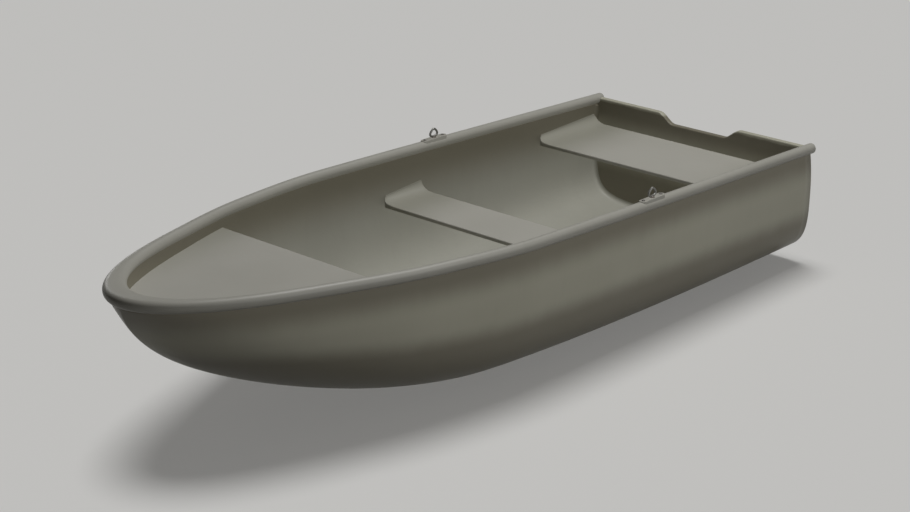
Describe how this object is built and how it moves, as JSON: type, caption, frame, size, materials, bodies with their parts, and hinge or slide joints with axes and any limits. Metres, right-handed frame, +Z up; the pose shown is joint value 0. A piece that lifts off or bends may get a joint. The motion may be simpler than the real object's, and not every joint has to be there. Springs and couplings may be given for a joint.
{
  "type": "rowing boat",
  "caption": "Small moulded rowing boat with a round spoon bow, a notched transom, flat seats, a thick rolled gunwale and swivelling closed rowlocks.",
  "frame": {"origin": "on the ground under the middle of the boat's bounding box", "axes": "+X forward to the bow, +Y to port, +Z up; the boat stands level on its keel and bilge runners"},
  "size_m": [3.6331, 1.3258, 0.719],
  "materials": {
    "hull_gelcoat": "satin moulded gelcoat",
    "gunwale": "matt moulded roll",
    "seats": "matt moulded gelcoat",
    "rowlocks": "dull galvanised steel"
  },
  "bodies": {
    "boat": {"hull": "hull_gelcoat", "transom": "hull_gelcoat", "keel": "hull_gelcoat", "runner_port": "hull_gelcoat", "runner_starboard": "hull_gelcoat", "gunwale_port": "gunwale", "gunwale_starboard": "gunwale", "bow_seat": "seats", "middle_seat": "seats", "stern_seat": "seats", "rowlock_pad_port": "gunwale", "rowlock_pad_starboard": "gunwale", "rowlock_bush_port": "rowlocks", "rowlock_bush_starboard": "rowlocks"},
    "rowlock_port": {"rowlock_port": "rowlocks"},
    "rowlock_starboard": {"rowlock_starboard": "rowlocks"}
  },
  "joints": [
    {"name": "rowlock_port_swivel", "type": "hinge", "parent": "boat", "child": "rowlock_port", "pos_m": [-0.5685, 0.63783, 0.64764], "axis": [0, 0, 1], "continuous": true},
    {"name": "rowlock_starboard_swivel", "type": "hinge", "parent": "boat", "child": "rowlock_starboard", "pos_m": [-0.5685, -0.63783, 0.64764], "axis": [0, 0, 1], "continuous": true}
  ]
}
